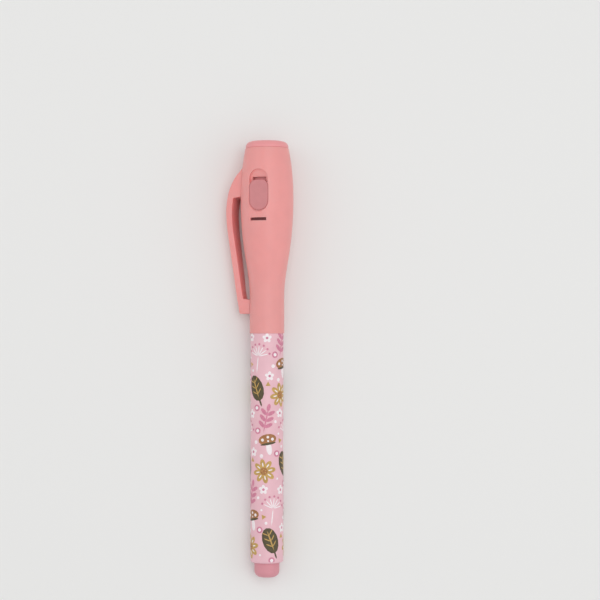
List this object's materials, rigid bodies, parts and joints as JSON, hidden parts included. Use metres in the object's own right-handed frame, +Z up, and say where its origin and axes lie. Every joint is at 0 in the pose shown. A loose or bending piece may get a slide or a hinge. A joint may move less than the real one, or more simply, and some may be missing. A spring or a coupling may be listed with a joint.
{
  "type": "uv invisible ink pen",
  "caption": "Capped fibre-tip pen with a bulbous lamp cap: push button, coin cells, small lamp and lens in the cap, side pocket clip, printed barrel with an end plug.",
  "frame": {"origin": "on the surface that the pen lies on, under the centre of its box", "axes": "+Z up, +Y along the pen towards the lamp end (the pen's own axis leans up by about 1.6 degrees), -X towards the pocket clip, which is rolled down until it touches the surface"},
  "size_m": [0.0224, 0.1462, 0.0179],
  "materials": {
    "cap_plastic": "satin",
    "bezel_plastic": "satin",
    "button_plastic": "matte",
    "barrel_film": "satin print",
    "plug_plastic": "satin",
    "fibre": "fibre",
    "clear_film": "clear",
    "inner_plastic": "matte",
    "carrier_plastic": "matte",
    "cell_steel": "plated",
    "contact_metal": "rolled",
    "lead_metal": "tinned",
    "led_epoxy": "clear",
    "reflector_metal": "plated",
    "lens_plastic": "clear"
  },
  "bodies": {
    "pen_body": {"barrel": "barrel_film", "end_plug": "plug_plastic", "ink_reservoir": "fibre", "reservoir_film": "clear_film", "front_section": "cap_plastic", "nib": "fibre"},
    "cap": {"cap_shell": "cap_plastic", "inner_cap": "inner_plastic", "battery_carrier": "carrier_plastic", "button_cell_1": "cell_steel", "button_cell_2": "cell_steel", "button_cell_3": "cell_steel", "cell_contact": "contact_metal", "switch_leaf": "contact_metal", "led": "led_epoxy", "led_anode_lead": "lead_metal", "led_cathode_lead": "lead_metal", "reflector": "reflector_metal", "lens": "lens_plastic", "end_bezel": "bezel_plastic"},
    "button": {"push_button": "button_plastic"},
    "clip": {"pocket_clip": "cap_plastic"}
  },
  "joints": [
    {"name": "cap_pull", "type": "slide", "parent": "pen_body", "child": "cap", "axis": [0, 0.9996, 0.028], "range_m": [0, 0.04]},
    {"name": "button_press", "type": "slide", "parent": "cap", "child": "button", "axis": [0.4411, 0.0251, -0.8971], "range_m": [0, 0.0007], "stiffness_N_per_m": 1500, "springref_m": -0.0002, "deforming": ["switch_leaf"]},
    {"name": "clip_flex", "type": "hinge", "parent": "cap", "child": "clip", "pos_m": [-0.00513, 0.06323, 0.00557], "axis": [0.4411, 0.0251, -0.8971], "range_deg": [0, 3.5], "stiffness_Nm_per_rad": 2.5}
  ]
}
